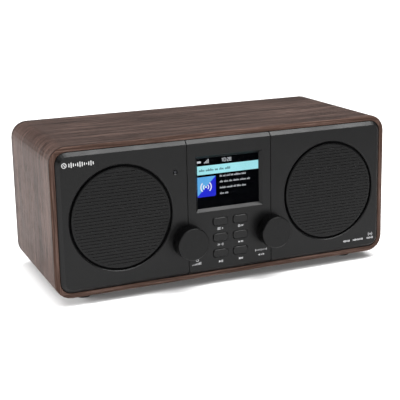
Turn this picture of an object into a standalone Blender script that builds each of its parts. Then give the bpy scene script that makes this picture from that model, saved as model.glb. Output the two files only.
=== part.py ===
"""Tabletop radio: a wooden sleeve with a black fascia, two speakers, a screen, two knobs and six buttons.

World frame: +Z up, the radio faces -Y, +X is to the right of someone looking at its front.
The origin is the centre of the base, on the table. Depths below are measured from the sleeve's
front edge (negative towards the viewer) and heights from the sleeve's underside.
"""
import math

import bmesh
import bpy
from mathutils import Matrix, Vector

# Sleeve
WIDTH = 0.350
HEIGHT = 0.143
DEPTH = 0.150
CORNER_RADIUS = 0.016
WALL = 0.012
LIP = 0.005
EDGE_ROUND = 0.0013
FRONT_REBATE = 0.010
REAR_REBATE = 0.0057
FOOT_HEIGHT = 0.0075
FOOT_RADIUS = 0.0082
FOOT_SIDE = 0.1422
FOOT_INSET = 0.024
GAP = 0.0003

# Fascia
FACE = -0.0034
FACE_THICKNESS = 0.003
FACE_BACK = FACE + FACE_THICKNESS
TRAY_INSET = 0.0056
CHAMFER = 0.0035
TRAY_WALL = 0.0026
SEAM_X = 0.044
SEAM_WIDTH = 0.0009
SEAM_DEPTH = 0.0009

# Speakers
SPEAKER_X = 0.1096
SPEAKER_Z = HEIGHT / 2
WELL_RADIUS = 0.0504
WELL_EDGE = 0.0008
WELL_BACK = 0.005
BOSS_RADIUS = 0.0535
SOUND_RADIUS = 0.041
GRILLE_RADIUS = 0.0484
GRILLE_FRONT = -0.0031
GRILLE_SOFT = 0.0012
GRILLE_FIELD = 0.0462
GRILLE_SLOTS = 29
GRILLE_PITCH = 0.0031
SLOT_WIDTH = 0.00045
BASKET_RADIUS = 0.049
BASKET_FRONT = 0.0053
BASKET_BACK = 0.026
BASKET_SHEET = 0.0013
MAGNET_FRONT = 0.0263
MAGNET_RADIUS = 0.031
PLATE_RADIUS = 0.027
CONE_RADIUS = 0.031
COIL_RADIUS = 0.0108
COIL_WALL = 0.0006
ROLL_CENTRE = 0.0361
ROLL_OUTER = 0.0023
ROLL_INNER = 0.0016
SPEAKER_SCREW_CIRCLE = 0.0455
SPEAKER_SIDES = 20

# Screen, buttons, knobs and indicator
SCREEN_WIDTH = 0.0648
SCREEN_HEIGHT = 0.0492
SCREEN_Z = 0.0938
BEZEL = 0.00285
BUTTON_X = 0.0106
BUTTON_ROWS = (0.0554, 0.0396, 0.0236)
BUTTON_SIZE = (0.0155, 0.0077)
BUTTON_HOLE = (0.0162, 0.0084)
BUTTON_PROUD = 0.0009
FLANGE_BACK = 0.001
SWITCH_FRONT = FLANGE_BACK + 0.0008
KNOB_Z = 0.0401
KNOB_RADIUS = 0.016
KNOB_FRONT = -0.0173
KNOB_BASE = -0.0044
KNOB_EDGE = 0.0011
KNOB_WALL = 0.0024
KNOB_ROOF = -0.0145
HUB_RADIUS = 0.005
HUB_BASE = -0.0066
SHAFT_SEAT = -0.0155
SHAFT_RADIUS = 0.0027
BUSH_BORE = 0.003
BUSH_RADIUS = 0.0036
PANEL_BORE = 0.004
LENS_PLACE = (-0.0557, 0.1087)
LENS_HOLE = 0.00175
DIMPLE_RADIUS = 0.0026

# Boards
BOARD = 0.0016
CONTROL_Y = 0.0047
CONTROL_SIZE = (0.108, 0.114)
RIBBON_FRONT = 0.0105
ENCODER_FRONT = CONTROL_Y + BOARD + GAP
ENCODER_STEP = ENCODER_FRONT + 0.002
ENCODER_BACK = ENCODER_FRONT + 0.0066
ENCODER_SIZE = 0.0126
SWITCH_SIZE = 0.006
MAIN_Y = 0.124
MAIN_SIZE = (0.110, 0.062)
MAIN_Z = 0.048
HEADER_HALF = 0.013
CAPACITOR_RADIUS = 0.005
CAPACITOR_X = 0.036
CAPACITOR_ROWS = (0.030, 0.046, 0.062)
RIBBON_WIDTH = 0.022
RIBBON_THICKNESS = 0.001
RIBBON_PULL = 0.040

# Back
REAR_THICKNESS = 0.003
REAR_IN = DEPTH - REAR_REBATE + GAP
REAR_OUT = REAR_IN + REAR_THICKNESS
DC_PLACE = (-0.052, 0.034)
PHONES_PLACE = (-0.026, 0.034)
REAR_SCREWS = ((-0.1665, 0.024), (-0.1665, 0.119), (0.0, 0.0085),
               (0.0, 0.1345), (0.1665, 0.024), (0.1665, 0.119))
JACK_BODY = 0.0041
JACK_FLANGE = 0.0056
JACK_NUT = 0.0058
JACK_LENGTH = 0.013

# Aerial
AERIAL_X = 0.146
AERIAL_Z = 0.122
AERIAL_Y = REAR_OUT + 0.010
KNUCKLE = 0.004
CHEEK_SPANS = (("low", (-0.0046, -0.0026)), ("high", (0.0026, 0.0046)))
PIN_RADIUS = 0.001
PIN_HOLE = 0.00135
PIN_HEAD = 0.0018
TUBES = ((0.0035, 0.0030, 0.0060, 0.118), (0.0027, 0.00225, 0.0092, 0.120),
         (0.00195, 0.0015, 0.0100, 0.122))
ROD = (0.0012, 0.0110, 0.124)
TIP_RADIUS = 0.0032
TIP_LENGTH = 0.007

REACH_BACK = AERIAL_Y + KNUCKLE
FRONT_Y = -(KNOB_FRONT + REACH_BACK) / 2
ORIGIN = Vector((0, FRONT_Y, FOOT_HEIGHT))

WALNUT = ("walnut_vinyl", (0.115, 0.062, 0.045), 0.5, 0.0)
BLACK = ("black_abs", (0.022, 0.022, 0.023), 0.45, 0.0)
KNOB_BLACK = ("knob_abs", (0.018, 0.018, 0.019), 0.5, 0.0)
BOARD_GREEN = ("board_laminate", (0.02, 0.10, 0.05), 0.5, 0.0)
HARDBOARD = ("rear_board", (0.03, 0.03, 0.032), 0.7, 0.0)
RUBBER = ("rubber", (0.015, 0.015, 0.015), 0.85, 0.0)
STEEL = ("steel", (0.55, 0.55, 0.56), 0.3, 1.0)
BLACK_STEEL = ("black_steel", (0.04, 0.04, 0.045), 0.45, 0.8)
CHROME = ("chrome", (0.75, 0.75, 0.77), 0.12, 1.0)
PAPER = ("paper_cone", (0.03, 0.03, 0.032), 0.8, 0.0)
FERRITE = ("ferrite", (0.07, 0.07, 0.075), 0.6, 0.2)
SCREEN = ("screen", (0.01, 0.012, 0.02), 0.1, 0.0)
LENS = ("lens", (0.05, 0.05, 0.06), 0.1, 0.0)
RIBBON = ("ribbon", (0.5, 0.5, 0.52), 0.6, 0.0)


def clear_scene():
    for item in list(bpy.data.objects):
        bpy.data.objects.remove(item)


def material(spec):
    """The Principled material of this name, colour, roughness and metallic value."""
    name, colour, roughness, metallic = spec
    found = bpy.data.materials.get(name)
    if found:
        return found
    made = bpy.data.materials.new(name)
    made.use_nodes = True
    shader = made.node_tree.nodes["Principled BSDF"]
    shader.inputs["Base Color"].default_value = (*colour, 1)
    shader.inputs["Roughness"].default_value = roughness
    shader.inputs["Metallic"].default_value = metallic
    return made


def finish_mesh(name, bm, spec, place):
    """Turn a bmesh into an object whose origin is at place, with outward faces and smooth rounds."""
    bmesh.ops.recalc_face_normals(bm, faces=bm.faces)
    mesh = bpy.data.meshes.new(name)
    bm.to_mesh(mesh)
    bm.free()
    mesh.shade_smooth()
    mesh.set_sharp_from_angle(angle=math.radians(35))
    item = bpy.data.objects.new(name, mesh)
    item.location = ORIGIN + Vector(place)
    bpy.context.collection.objects.link(item)
    if spec:
        mesh.materials.append(material(spec))
    else:
        item.hide_render = True
        item.display_type = "WIRE"
    return item


def add_loft(bm, rings, closed=False):
    """Skin rings of 3-D points that all have the same count, capped at both ends unless closed."""
    loops = [[bm.verts.new(point) for point in ring] for ring in rings]
    pairs = list(zip(loops, loops[1:]))
    if closed:
        pairs.append((loops[-1], loops[0]))
    for first, second in pairs:
        for i in range(len(first)):
            j = (i + 1) % len(first)
            bm.faces.new((first[i], first[j], second[j], second[i]))
    if not closed:
        bm.faces.new(loops[0])
        bm.faces.new(loops[-1])


def lofted(name, rings, spec, place=(0, 0, 0), closed=False):
    bm = bmesh.new()
    add_loft(bm, rings, closed)
    return finish_mesh(name, bm, spec, place)


def rounded(width, height, radius, steps, depth, centre=(0, 0)):
    """A rounded rectangle in the plane y = depth."""
    points = []
    for quarter, (sx, sz) in enumerate(((1, 1), (-1, 1), (-1, -1), (1, -1))):
        cx = centre[0] + sx * (width / 2 - radius)
        cz = centre[1] + sz * (height / 2 - radius)
        for step in range(steps + 1):
            angle = math.pi / 2 * (quarter + step / steps)
            points.append((cx + radius * math.cos(angle), depth, cz + radius * math.sin(angle)))
    return points


def circle(radius, depth, sides):
    return [(radius * math.cos(2 * math.pi * i / sides), depth, radius * math.sin(2 * math.pi * i / sides))
            for i in range(sides)]


def add_turned(bm, profile, sides, centre=(0, 0, 0)):
    """Revolve (radius, depth) points about Y. A profile that leaves the axis alone closes on itself."""
    start = len(bm.verts)
    solid = profile[0][0] == 0
    ends = (profile[0], profile[-1]) if solid else ()
    rings = [circle(r, y, sides) for r, y in (profile[1:-1] if solid else profile)]
    loops = [[bm.verts.new(point) for point in ring] for ring in rings]
    pairs = list(zip(loops, loops[1:])) + ([] if solid else [(loops[-1], loops[0])])
    for first, second in pairs:
        for i in range(sides):
            j = (i + 1) % sides
            bm.faces.new((first[i], first[j], second[j], second[i]))
    for end, loop in zip(ends, (loops[0], loops[-1])):
        if abs(end[1] - loop[0].co.y) < 1e-7:
            bm.faces.new(loop)
            continue
        pole = bm.verts.new((0, end[1], 0))
        for i in range(sides):
            bm.faces.new((loop[i], loop[(i + 1) % sides], pole))
    bm.verts.ensure_lookup_table()
    bmesh.ops.translate(bm, verts=bm.verts[start:], vec=centre)


def turned(name, profile, spec, place=(0, 0, 0), sides=24, axis="Y"):
    bm = bmesh.new()
    add_turned(bm, profile, sides)
    turns = {"Y": Matrix.Identity(3), "-X": Matrix.Rotation(math.pi / 2, 3, "Z"),
             "Z": Matrix.Rotation(math.pi / 2, 3, "X")}
    bmesh.ops.rotate(bm, verts=bm.verts, cent=(0, 0, 0), matrix=turns[axis])
    return finish_mesh(name, bm, spec, place)


def add_box(bm, low, high):
    made = bmesh.ops.create_cube(bm, size=1.0)
    size = [b - a for a, b in zip(low, high)]
    middle = [(a + b) / 2 for a, b in zip(low, high)]
    bmesh.ops.scale(bm, verts=made["verts"], vec=size)
    bmesh.ops.translate(bm, verts=made["verts"], vec=middle)


def boxes(name, corner_pairs, spec, place=(0, 0, 0)):
    bm = bmesh.new()
    for low, high in corner_pairs:
        add_box(bm, low, high)
    return finish_mesh(name, bm, spec, place)


def boolean(target, tool, operation):
    step = target.modifiers.new(tool.name, "BOOLEAN")
    step.operation = operation
    step.solver = "EXACT"
    step.object = tool


def cut(target, tool):
    boolean(target, tool, "DIFFERENCE")


def join(target, tool):
    boolean(target, tool, "UNION")


def turned_tool(name, profile, centres, sides):
    """One cutter or addition made of the same turned shape at several (x, z) places."""
    bm = bmesh.new()
    for x, z in centres:
        add_turned(bm, profile, sides, (x, 0, z))
    return finish_mesh(name, bm, None, (0, 0, 0))


def cylinder(radius, front, back):
    return [(0, front), (radius, front), (radius, back), (0, back)]


def on_circle(x, z, radius, count=4):
    """Points spread round a circle, starting at 45 degrees."""
    angles = [math.pi / 4 + 2 * math.pi * i / count for i in range(count)]
    return [(x + radius * math.cos(a), z + radius * math.sin(a)) for a in angles]


def sleeve_ring(inset, depth, steps=6):
    """The sleeve's outline moved in by inset."""
    radius = max(CORNER_RADIUS - inset, 0.0005)
    return rounded(WIDTH - 2 * inset, HEIGHT - 2 * inset, radius, steps, depth, (0, HEIGHT / 2))


def build_cabinet():
    """Wrapped MDF sleeve, rebated at the front for the fascia and at the back for the rear panel."""
    r = EDGE_ROUND
    soft = r * (1 - math.sqrt(0.5))
    profile = ((r, 0), (soft, soft), (0, r), (0, DEPTH - r), (soft, DEPTH - soft), (r, DEPTH),
               (LIP, DEPTH), (LIP, DEPTH - REAR_REBATE), (WALL, DEPTH - REAR_REBATE),
               (WALL, FRONT_REBATE), (LIP, FRONT_REBATE), (LIP, 0))
    cabinet = lofted("cabinet", [sleeve_ring(i, y) for i, y in profile], WALNUT, closed=True)
    pilot = cylinder(0.0017, DEPTH - REAR_REBATE - 0.012, DEPTH)
    cut(cabinet, turned_tool("cut_pilots", pilot, REAR_SCREWS, 12))


def build_feet():
    height = FOOT_HEIGHT - GAP
    edge = 0.0008
    profile = [(0, 0), (FOOT_RADIUS - 2 * edge, 0), (FOOT_RADIUS - edge, edge),
               (FOOT_RADIUS, height), (0, height)]
    for end, y in (("front", FOOT_INSET), ("rear", DEPTH - FOOT_INSET)):
        for side, x in (("left", -FOOT_SIDE), ("right", FOOT_SIDE)):
            turned(f"foot_{end}_{side}", profile, RUBBER, (x, y, -FOOT_HEIGHT), 20, "Z")


def seam_tool(x):
    """A cutter that follows the face and both chamfers, for the groove between two fascia sections."""
    clear = 0.005
    ahead = -0.009
    behind = 0.003
    top = HEIGHT - TRAY_INSET
    floor = FACE + SEAM_DEPTH
    shoulder = CHAMFER + FACE + SEAM_DEPTH * math.sqrt(2)
    inner = top - (shoulder - floor)
    above = HEIGHT + clear
    upper = [(ahead, above), (behind, above), (behind, top), (shoulder, top), (floor, inner)]
    section = [(ahead, -clear), *upper]
    section += [(y, HEIGHT - z) for y, z in upper[:0:-1]]
    rings = [[(x + side * SEAM_WIDTH / 2, y, z) for y, z in section] for side in (-1, 1)]
    return lofted(f"cut_seam_{'left' if x < 0 else 'right'}", rings, None)


def build_front_panel():
    """One black moulding: a chamfered tray with speaker wells, a bezel, posts and openings."""
    inner = TRAY_INSET + TRAY_WALL
    back = FRONT_REBATE - GAP
    profile = ((TRAY_INSET + CHAMFER, FACE), (TRAY_INSET, FACE + CHAMFER), (TRAY_INSET, back),
               (inner, back), (inner, FACE_BACK))
    panel = lofted("front_panel", [sleeve_ring(i, y, 5) for i, y in profile], BLACK)
    speakers = [(-SPEAKER_X, SPEAKER_Z), (SPEAKER_X, SPEAKER_Z)]
    posts = [(x, z) for x in (-0.049, 0.049) for z in (0.019, 0.123)]
    middle = (FACE + FACE_BACK) / 2
    join(panel, turned_tool("add_bosses", cylinder(BOSS_RADIUS, middle, WELL_BACK), speakers, 48))
    join(panel, turned_tool("add_posts", cylinder(0.0025, middle, CONTROL_Y - GAP), posts, 10))
    ahead = -0.006
    behind = 0.008
    well = [(0, ahead),
            (WELL_RADIUS + WELL_EDGE, ahead),
            (WELL_RADIUS + WELL_EDGE, FACE),
            (WELL_RADIUS, FACE + WELL_EDGE),
            (WELL_RADIUS, 0),
            (SOUND_RADIUS, 0),
            (SOUND_RADIUS, behind),
            (0, behind)]
    cut(panel, turned_tool("cut_wells", well, speakers, 60))
    screws = [p for x, z in speakers for p in on_circle(x, z, SPEAKER_SCREW_CIRCLE)]
    cut(panel, turned_tool("cut_screw_holes", cylinder(0.0016, 0.0012, behind), screws, 10))
    for x in (-SEAM_X, SEAM_X):
        cut(panel, seam_tool(x))
    cut(panel, bezel_tool())
    cut(panel, button_hole_tool())
    knob_holes = cylinder(PANEL_BORE, ahead, 0.002)
    cut(panel, turned_tool("cut_knob_holes", knob_holes, [(-SEAM_X, KNOB_Z), (SEAM_X, KNOB_Z)], 24))
    dimple = [(0, ahead),
              (DIMPLE_RADIUS, ahead),
              (DIMPLE_RADIUS, FACE),
              (LENS_HOLE, FACE + DIMPLE_RADIUS - LENS_HOLE),
              (LENS_HOLE, 0.001),
              (0, 0.001)]
    cut(panel, turned_tool("cut_dimple", dimple, [LENS_PLACE], 20))


def rectangle(width, height, depth, centre):
    return [(centre[0] + sx * width / 2, depth, centre[1] + sz * height / 2)
            for sx, sz in ((1, 1), (-1, 1), (-1, -1), (1, -1))]


def bezel_tool():
    """A cutter whose 45 degree sides leave the mitred chamfer round the screen."""
    ahead = 0.001
    grow = 2 * (BEZEL + ahead)
    rings = [rectangle(SCREEN_WIDTH + grow, SCREEN_HEIGHT + grow, FACE - ahead, (0, SCREEN_Z)),
             rectangle(SCREEN_WIDTH, SCREEN_HEIGHT, FACE + BEZEL, (0, SCREEN_Z)),
             rectangle(SCREEN_WIDTH, SCREEN_HEIGHT, 0.001, (0, SCREEN_Z))]
    return lofted("cut_bezel", rings, None)


def button_places():
    return [(x, z) for z in BUTTON_ROWS for x in (-BUTTON_X, BUTTON_X)]


def button_hole_tool():
    bm = bmesh.new()
    for place in button_places():
        rings = [rounded(*BUTTON_HOLE, 0.0029, 3, y, place) for y in (-0.006, 0.001)]
        add_loft(bm, rings)
    return finish_mesh("cut_button_holes", bm, None, (0, 0, 0))


def build_screen():
    """Clear lens behind the bezel, and the display module behind the lens."""
    lens = ((-0.035, FACE_BACK + GAP, -0.027), (0.035, 0.0011, 0.027))
    module = ((-0.036, 0.0014, -0.0273), (0.036, CONTROL_Y - GAP, 0.0273))
    boxes("display_window", [lens], SCREEN, (0, 0, SCREEN_Z))
    boxes("lcd_module", [module], STEEL, (0, 0, SCREEN_Z))
    flange = FACE_BACK + GAP
    profile = [(0, FACE + 0.0005), (0.00145, FACE + 0.0006), (0.00145, flange), (0.0026, flange),
               (0.0026, 0.0009), (0, 0.0009)]
    turned("indicator_lens", profile, LENS, (LENS_PLACE[0], 0, LENS_PLACE[1]), 16)


def build_buttons():
    """Rounded caps, each with a flange behind the fascia that ends just over its switch."""
    width, height = BUTTON_SIZE
    flange = FACE_BACK + GAP
    front = FACE - BUTTON_PROUD
    shape = ((width - 0.0008, height - 0.0008, 0.0021, front), (width, height, 0.0025, front + 0.0004),
             (width, height, 0.0025, flange), (0.0176, 0.0096, 0.0025, flange),
             (0.0176, 0.0096, 0.0025, FLANGE_BACK))
    rings = [rounded(w, h, r, 2, y) for w, h, r, y in shape]
    for number, (x, z) in enumerate(button_places(), 1):
        lofted(f"button_{number}", rings, BLACK, (x, 0, z))


def build_knob(name, x):
    """Push encoder and its knob. Origins are on the turning axis."""
    place = (x, 0, KNOB_Z)
    knob = [(0, KNOB_FRONT),
            (KNOB_RADIUS - KNOB_EDGE, KNOB_FRONT),
            (KNOB_RADIUS - 0.0004, KNOB_FRONT + 0.0006),
            (KNOB_RADIUS, KNOB_BASE),
            (KNOB_RADIUS - KNOB_WALL, KNOB_BASE),
            (KNOB_RADIUS - KNOB_WALL - 0.0006, KNOB_ROOF),
            (HUB_RADIUS, KNOB_ROOF),
            (HUB_RADIUS, HUB_BASE),
            (BUSH_BORE, HUB_BASE),
            (BUSH_BORE, SHAFT_SEAT),
            (0, SHAFT_SEAT)]
    turned(f"knob_{name}", knob, KNOB_BLACK, place, 44)
    shaft = cylinder(SHAFT_RADIUS, SHAFT_SEAT + 0.0004, ENCODER_BACK - 0.0006)
    turned(f"encoder_shaft_{name}", shaft, STEEL, place, 16)
    front = ENCODER_STEP + 0.0004
    back = ENCODER_BACK - 0.001
    rotor = [(0.0043, front), (0.0043, back), (BUSH_BORE, back), (BUSH_BORE, front)]
    turned(f"encoder_rotor_{name}", rotor, BLACK, place, 16)
    build_encoder_body(name, place)


def build_encoder_body(name, place):
    """Square case with a bush through the fascia, bored for the shaft and the rotor."""
    half = ENCODER_SIZE / 2
    block = ((-half, ENCODER_FRONT, -half), (half, ENCODER_BACK, half))
    body = boxes(f"encoder_body_{name}", [block], STEEL, place)
    bush = cylinder(BUSH_RADIUS, KNOB_BASE - 0.001, ENCODER_STEP)
    join(body, turned(f"add_bush_{name}", bush, None, place, 16))
    ahead = -0.007
    behind = ENCODER_BACK + 0.001
    cavity = [(0, ahead),
              (BUSH_BORE, ahead),
              (BUSH_BORE, ENCODER_STEP),
              (0.0048, ENCODER_STEP),
              (0.0048, behind),
              (0, behind)]
    cut(body, turned(f"cut_cavity_{name}", cavity, None, place, 16))


def build_grille(side, x):
    """Flat disc with a soft rim and a field of fine horizontal slots."""
    back = -GAP
    profile = [(0, GRILLE_FRONT),
               (GRILLE_RADIUS - GRILLE_SOFT, GRILLE_FRONT),
               (GRILLE_RADIUS - GRILLE_SOFT / 4, GRILLE_FRONT + GRILLE_SOFT / 3),
               (GRILLE_RADIUS, GRILLE_FRONT + GRILLE_SOFT),
               (GRILLE_RADIUS, back),
               (0, back)]
    place = (x, 0, SPEAKER_Z)
    grille = turned(f"speaker_grille_{side}", profile, BLACK, place, 56)
    slots = []
    for row in range(GRILLE_SLOTS):
        z = (row - (GRILLE_SLOTS - 1) / 2) * GRILLE_PITCH
        half = math.sqrt(GRILLE_FIELD ** 2 - z * z)
        low = (-half, GRILLE_FRONT - 0.001, z - SLOT_WIDTH / 2)
        high = (half, 0.001, z + SLOT_WIDTH / 2)
        slots.append((low, high))
    cut(grille, boxes(f"cut_slots_{side}", slots, None, place))


def build_speaker(side, x):
    """Full-range driver: basket, magnet, cone with dust cap and coil former, and half-roll surround."""
    place = (x, 0, SPEAKER_Z)
    build_basket(side, x)
    turned(f"speaker_magnet_{side}", magnet_profile(), FERRITE, place, SPEAKER_SIDES)
    turned(f"speaker_cone_{side}", cone_profile(), PAPER, place, 24)
    turned(f"speaker_surround_{side}", surround_profile(), RUBBER, place, 24)
    build_speaker_screws(side, x)


def build_basket(side, x):
    """Pressed steel frame: a flange, a tapered wall with four windows and a flat back."""
    place = (x, 0, SPEAKER_Z)
    hole = 0.0126
    basket = [(BASKET_RADIUS, BASKET_FRONT),
              (BASKET_RADIUS, BASKET_FRONT + 0.0015),
              (0.042, BASKET_FRONT + 0.0015),
              (0.0395, 0.0084),
              (0.029, 0.024),
              (0.029, BASKET_BACK),
              (hole, BASKET_BACK),
              (hole, BASKET_BACK - BASKET_SHEET),
              (0.0278, BASKET_BACK - BASKET_SHEET),
              (0.0382, 0.0082),
              (0.0382, BASKET_FRONT)]
    frame = turned(f"speaker_basket_{side}", basket, BLACK_STEEL, place, SPEAKER_SIDES)
    narrow = 0.011
    reach = BASKET_RADIUS + 0.001
    for number, (wide, tall) in enumerate(((narrow, reach), (reach, narrow))):
        window = ((-wide, 0.0105, -tall), (wide, 0.0215, tall))
        cut(frame, boxes(f"cut_window_{side}_{number}", [window], None, place))
    places = on_circle(x, SPEAKER_Z, SPEAKER_SCREW_CIRCLE)
    cut(frame, turned_tool(f"cut_flange_{side}", cylinder(0.0017, 0.004, 0.008), places, 8))


def magnet_profile():
    """Front plate, ferrite ring and back plate, with the ring slot the coil moves in."""
    slot = (0.0093, 0.012)
    slot_end = MAGNET_FRONT + 0.0112
    ring_front = MAGNET_FRONT + 0.0032
    ring_back = MAGNET_FRONT + 0.0142
    back = MAGNET_FRONT + 0.0182
    return [(0, MAGNET_FRONT),
            (slot[0], MAGNET_FRONT),
            (slot[0], slot_end),
            (slot[1], slot_end),
            (slot[1], MAGNET_FRONT),
            (PLATE_RADIUS, MAGNET_FRONT),
            (PLATE_RADIUS, ring_front),
            (MAGNET_RADIUS, ring_front),
            (MAGNET_RADIUS, ring_back),
            (PLATE_RADIUS, ring_back),
            (PLATE_RADIUS, back),
            (0, back)]


def cone_profile():
    """Dust cap, paper cone and the coil former behind them, as one thin shell."""
    coil_end = 0.033
    front = [(0, 0.009), (0.006, 0.0096), (0.0104, 0.0118), (0.012, 0.0135), (CONE_RADIUS, 0.0042)]
    outside = [(CONE_RADIUS, 0.005), (0.0126, 0.0145), (COIL_RADIUS, 0.0152), (COIL_RADIUS, coil_end)]
    bore = COIL_RADIUS - COIL_WALL
    return front + outside + [(bore, coil_end), (bore, 0.0136), (0.006, 0.0108), (0, 0.0102)]


def half_roll(radius, depth, start, stop):
    angles = [math.radians(start + (stop - start) * i / 3) for i in range(4)]
    return [(ROLL_CENTRE + radius * math.cos(a), depth - radius * math.sin(a)) for a in angles]


def surround_profile():
    """Outer flange, half roll towards the viewer and inner flange, as one closed section."""
    outer = 0.0407
    inner = 0.0314
    front = 0.0040
    seat = 0.0047
    back = [(outer, front), (outer, seat), *half_roll(ROLL_INNER, front, 0, 180)]
    return back + [(inner, seat), (inner, front), *half_roll(ROLL_OUTER, front, 180, 0)]


def build_speaker_screws(side, x):
    seat = 0.0071
    profile = [(0, seat + 0.0017), (0.0018, seat + 0.0017), (0.0028, seat), (0.0013, seat),
               (0.0013, 0.002), (0, 0.002)]
    for number, (sx, sz) in enumerate(on_circle(x, SPEAKER_Z, SPEAKER_SCREW_CIRCLE), 1):
        turned(f"speaker_screw_{side}_{number}", profile, STEEL, (sx, 0, sz), 8)


def build_control_board():
    """Board close behind the fascia with six tact switches in front and the ribbon header behind."""
    width, height = CONTROL_SIZE
    middle = HEIGHT / 2
    board = boxes("control_board", [((-width / 2, CONTROL_Y, middle - height / 2),
                                     (width / 2, CONTROL_Y + BOARD, middle + height / 2))], BOARD_GREEN)
    inside = CONTROL_Y + BOARD / 2
    half = SWITCH_SIZE / 2
    parts = []
    for x, z in button_places():
        parts.append(((x - half, SWITCH_FRONT, z - half), (x + half, inside, z + half)))
    header = ((-HEADER_HALF, inside, 0.088), (HEADER_HALF, RIBBON_FRONT - GAP, 0.094))
    chip = ((-0.041, inside, 0.055), (-0.029, 0.0077, 0.067))
    join(board, boxes("add_switches", [*parts, header, chip], None))
    holes = cylinder(0.0042, CONTROL_Y - 0.002, CONTROL_Y + BOARD + 0.002)
    cut(board, turned_tool("cut_bush_holes", holes, [(-SEAM_X, KNOB_Z), (SEAM_X, KNOB_Z)], 16))


def build_main_board():
    """Receiver and amplifier board on posts of the rear panel, with its taller components."""
    width, height = MAIN_SIZE
    board = boxes("main_board", [((-width / 2, MAIN_Y, MAIN_Z - height / 2),
                                  (width / 2, MAIN_Y + BOARD, MAIN_Z + height / 2))], BOARD_GREEN)
    inside = MAIN_Y + BOARD / 2
    header = ((-HEADER_HALF, 0.1195, 0.060), (HEADER_HALF, inside, 0.066))
    tuner = ((-0.040, 0.1165, 0.036), (-0.016, inside, 0.058))
    chip = ((0.010, 0.1215, 0.030), (0.022, inside, 0.042))
    choke = ((-0.010, 0.110, 0.024), (0.000, inside, 0.034))
    join(board, boxes("add_components", [header, tuner, chip, choke], None))
    can = cylinder(CAPACITOR_RADIUS, 0.108, inside)
    places = [(CAPACITOR_X, z) for z in CAPACITOR_ROWS]
    join(board, turned_tool("add_capacitors", can, places, 16))


def build_ribbon():
    """Flat lead between the two board headers, hanging in one slack bow."""
    start = Vector((0, RIBBON_FRONT, 0.091))
    end = Vector((0, 0.1192, 0.063))
    pull = Vector((0, RIBBON_PULL, 0))
    control = (start, start + pull, end - pull, end)
    legs = [b - a for a, b in zip(control, control[1:])]
    side = Vector((RIBBON_WIDTH / 2, 0, 0))
    rings = []
    sections = 18
    for i in range(sections + 1):
        t = i / sections
        s = 1 - t
        weights = (s ** 3, 3 * t * s ** 2, 3 * t ** 2 * s, t ** 3)
        point = sum((c * w for c, w in zip(control, weights)), Vector((0, 0, 0)))
        slope = s * s * legs[0] + 2 * t * s * legs[1] + t * t * legs[2]
        across = Vector((0, -slope.z, slope.y)).normalized() * RIBBON_THICKNESS / 2
        corners = (side + across, across - side, -side - across, side - across)
        rings.append([point + corner for corner in corners])
    lofted("ribbon_cable", rings, RIBBON)


def build_rear_panel():
    """Flat back in the rear rebate, with posts for the main board and holes for what it carries."""
    inset = LIP + GAP
    panel = lofted("rear_panel", [sleeve_ring(inset, y, 5) for y in (REAR_IN, REAR_OUT)], HARDBOARD)
    width, height = MAIN_SIZE
    corner_x = width / 2 - 0.006
    corner_z = height / 2 - 0.006
    posts = [(x, MAIN_Z + z) for x in (-corner_x, corner_x) for z in (-corner_z, corner_z)]
    post = cylinder(0.003, MAIN_Y + BOARD + GAP, REAR_IN + REAR_THICKNESS / 2)
    join(panel, turned_tool("add_rear_posts", post, posts, 10))
    for name, radius, places, sides in (("screws", 0.0017, REAR_SCREWS, 12),
                                        ("jacks", 0.0045, (DC_PLACE, PHONES_PLACE), 20),
                                        ("aerial", 0.0044, ((AERIAL_X, AERIAL_Z),), 20)):
        hole = cylinder(radius, REAR_IN - 0.002, REAR_OUT + 0.002)
        cut(panel, turned_tool(f"cut_rear_{name}", hole, places, sides))


def star(tip, root, depth, sides=12):
    """Cross-shaped ring: every third point reaches the tip radius."""
    points = []
    for i in range(sides):
        radius = tip if i % 3 == 0 else root
        angle = 2 * math.pi * i / sides
        points.append((radius * math.cos(angle), depth, radius * math.sin(angle)))
    return points


def build_rear_screws():
    """Pan-head wood screws with a cross recess."""
    seat = REAR_OUT + GAP
    rings = [star(0.0012, 0.0004, seat + 0.0006), star(0.0016, 0.0006, seat + 0.0018),
             circle(0.0021, seat + 0.0017, 12), circle(0.0029, seat + 0.0006, 12), circle(0.0029, seat, 12),
             circle(0.0014, seat, 12), circle(0.0014, seat - 0.0145, 12)]
    for number, (x, z) in enumerate(REAR_SCREWS, 1):
        lofted(f"rear_screw_{number}", rings, STEEL, (x, 0, z))


def jack_profile(bore, pin):
    """Panel jack: flange outside, nut inside, and a round socket with or without a centre pin."""
    front = REAR_OUT + GAP
    mouth = front + 0.0013
    nut = REAR_IN - GAP
    floor = mouth - 0.010
    centre = [(0, mouth - 0.001), (pin, mouth - 0.001), (pin, floor)] if pin else [(0, floor)]
    socket = [(bore, floor), (bore, mouth), (JACK_FLANGE, mouth), (JACK_FLANGE, front), (JACK_BODY, front)]
    ring = [(JACK_BODY, nut), (JACK_NUT, nut), (JACK_NUT, nut - 0.0025), (JACK_BODY, nut - 0.0025)]
    return centre + socket + ring + [(JACK_BODY, nut - JACK_LENGTH), (0, nut - JACK_LENGTH)]


def build_jacks():
    turned("dc_jack", jack_profile(0.0029, 0.001), BLACK, (DC_PLACE[0], 0, DC_PLACE[1]), 16)
    turned("headphone_jack", jack_profile(0.0018, 0), BLACK, (PHONES_PLACE[0], 0, PHONES_PLACE[1]), 16)


def flat_link(name, half, span, length, towards, place):
    """A plate between two heights that has a round end at the pivot and runs towards -Y or -X."""
    arc = [math.radians(180 * i / 8) for i in range(9)]
    outline = [(half * math.cos(a), half * math.sin(a)) for a in arc]
    outline += [(-half, -length), (half, -length)]
    if towards == "-X":
        outline = [(y, x) for x, y in outline]
    return lofted(name, [[(x, y, z) for x, y in outline] for z in span], None, place)


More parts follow.
